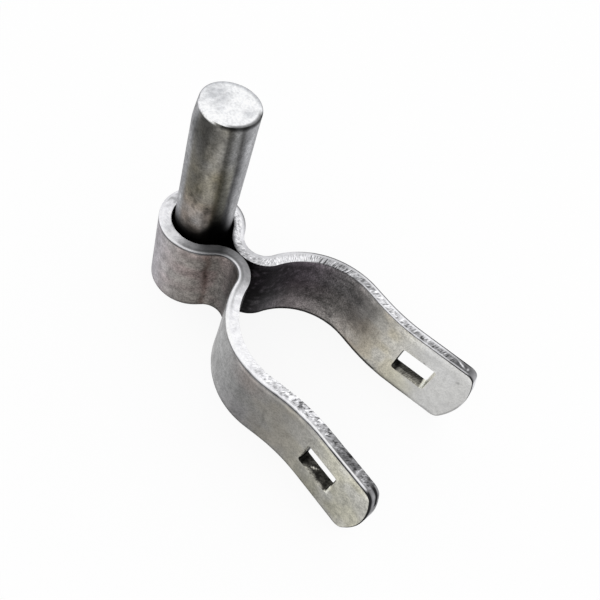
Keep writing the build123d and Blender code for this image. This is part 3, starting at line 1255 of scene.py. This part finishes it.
# %% [markdown]
# Galvanised steel that has stood outside is a dull metal with soft, cloudy reflections. The painted
# colour sets its tone, and noise on Object coordinates adds clouds, fine grain and pits at their
# real size. On the torn edge a stretched noise cuts dark strokes and leaves bright glints. A bump
# of a fifth of a millimetre is enough for the grain, because the larger unevenness is in the mesh.

# %% Zinc finish
grain_scale = 1900.0
stroke_scale = 1.7
cloud_strength, grain_strength, pit_strength = 0.26, 0.30, 0.25
cut_darkness, cut_relief = 0.85, 2.0
bump_strength, bump_height = 0.15, 0.0002
edge_tint = (0.6, 0.6, 0.6, 1.0)


def new_metal(name):
    """An empty node material with a metal shader, whose glancing reflections are held back."""
    material = bpy.data.materials.new(name)
    material.use_nodes = True
    shader = material.node_tree.nodes["Principled BSDF"]
    shader.inputs["Specular Tint"].default_value = edge_tint
    shader.inputs["Specular IOR Level"].default_value = 0.0
    return material, material.node_tree, shader


def mottled(tree, cloud, grain):
    """Brightness of mottled zinc: clouds and grain less pits, times the mesh's own share, plus 1."""
    clouds = calc(tree, "MULTIPLY", centred(tree, cloud), cloud_strength)
    fine = calc(tree, "MULTIPLY_ADD", centred(tree, grain), grain_strength, clouds)
    pitted = calc(tree, "MULTIPLY_ADD", between(tree, grain, 0.66, 0.74), -pit_strength, fine)
    return calc(tree, "MULTIPLY_ADD", pitted, attribute(tree, "mottle").outputs["Fac"], 1.0)


def zinc(name, mottle_scale, roughness):
    """Dull zinc: the painted colour, mottled and pitted, with an uneven gloss and a fine grain."""
    material, tree, shader = new_metal(name)
    place = add_node(tree, "ShaderNodeTexCoord").outputs["Object"]
    paint = attribute(tree, "zinc").outputs["Color"]
    grit = attribute(tree, "grit").outputs["Fac"]
    cloud = noise(tree, place, mottle_scale, 5.0, 0.6)
    grain = noise(tree, place, grain_scale, 2.0)
    stroke = noise(tree, attribute(tree, "stroke").outputs["Vector"], stroke_scale, 4.0, 0.65)

    cut = calc(tree, "MULTIPLY", between(tree, stroke, 0.48, 0.62), grit)
    darkened = calc(tree, "MULTIPLY_ADD", cut, -cut_darkness, 1.0)
    level = calc(tree, "MULTIPLY", mottled(tree, cloud, grain), darkened)
    glint = calc(tree, "MULTIPLY", between(tree, stroke, 0.44, 0.34), grit)
    level = calc(tree, "MULTIPLY", level, calc(tree, "ADD", glint, 1.0))
    scaled = add_node(tree, "ShaderNodeVectorMath", {0: paint, "Scale": level}, operation="SCALE")
    tree.links.new(scaled.outputs["Vector"], shader.inputs["Base Color"])

    metal = calc(tree, "SUBTRACT", 1.0, attribute(tree, "chalk").outputs["Fac"])
    tree.links.new(metal, shader.inputs["Metallic"])
    shiny, dull = roughness - 0.08, roughness + 0.12
    gloss = add_node(tree, "ShaderNodeMapRange", {"Value": cloud, "To Min": shiny, "To Max": dull})
    tree.links.new(gloss.outputs["Result"], shader.inputs["Roughness"])
    relief = calc(tree, "MULTIPLY_ADD", cut, -cut_relief, grain)
    raised = {"Strength": bump_strength, "Distance": bump_height, "Height": relief}
    bump = add_node(tree, "ShaderNodeBump", raised)
    tree.links.new(bump.outputs["Normal"], shader.inputs["Normal"])
    return material


strap.data.materials.append(zinc("strap_zinc", 420.0, 0.42))
pin.data.materials.append(zinc("pin_zinc", 500.0, 0.36))
print("materials:", strap.data.materials[0].name, pin.data.materials[0].name)

# %% [markdown]
# The strap and the pin are fixed to each other, so both ride on the one body of the model. Each new
# surface stands for the solid that it was laid over, and the solid is then left out of the picture.

# %% Ride and replace
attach(strap, "root")
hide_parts("post_band")
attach(pin, "root")
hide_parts("hinge_pin")
print("pieces:", strap.name, pin.name)

# %% [markdown]
# The part stands on a pale floor in an even white light. The floor is nearly white to the camera,
# and to reflections in the metal, because Light Path lets it glow for those rays alone. So the glow
# adds no light to dull surfaces, and the rest of the floor's colour still takes the object's shadow.

# %% Floor
FLOOR_REACH = 3.0
floor_colour = (0.93, 0.93, 0.93, 1.0)
glow_share = 0.90


def pale_floor():
    """Floor material: a matt surface, mixed with a glow for camera, glossy and transmission rays."""
    material = bpy.data.materials.new("pale_floor")
    material.use_nodes = True
    tree = material.node_tree
    shader = tree.nodes["Principled BSDF"]
    shader.inputs["Base Color"].default_value = floor_colour
    shader.inputs["Roughness"].default_value = 0.9
    path = add_node(tree, "ShaderNodeLightPath")
    seen = calc(tree, "MAXIMUM", path.outputs["Is Camera Ray"], path.outputs["Is Glossy Ray"])
    seen = calc(tree, "MAXIMUM", seen, path.outputs["Is Transmission Ray"])
    glow = add_node(tree, "ShaderNodeEmission", {"Strength": 1.0})
    share = calc(tree, "MULTIPLY", seen, glow_share)
    mixed = add_node(tree, "ShaderNodeMixShader", {0: share, 1: shader.outputs[0], 2: glow.outputs[0]})
    tree.links.new(mixed.outputs[0], tree.nodes["Material Output"].inputs["Surface"])
    return material


def floor():
    """A wide pale floor at the strap's lower edge: one square of four corners."""
    corners = np.array([(-1, -1, 0), (1, -1, 0), (1, 1, 0), (-1, 1, 0)]) * FLOOR_REACH
    mesh = bpy.data.meshes.new("floor")
    mesh.from_pydata(corners.tolist(), [], [(0, 1, 2, 3)])
    mesh.materials.append(pale_floor())
    made = bpy.data.objects.new("floor", mesh)
    bpy.context.collection.objects.link(made)
    return made


print("floor:", floor().name)


# %% World
def studio_world(strength):
    """An even white surround, which gives all of the light."""
    world = bpy.data.worlds.new("studio")
    world.use_nodes = True
    background = world.node_tree.nodes["Background"]
    background.inputs["Color"].default_value = (1.0, 1.0, 1.0, 1.0)
    background.inputs["Strength"].default_value = strength
    bpy.context.scene.world = world
    return world


bpy.context.scene.view_settings.view_transform = "Standard"
print("world:", studio_world(1.0).name)
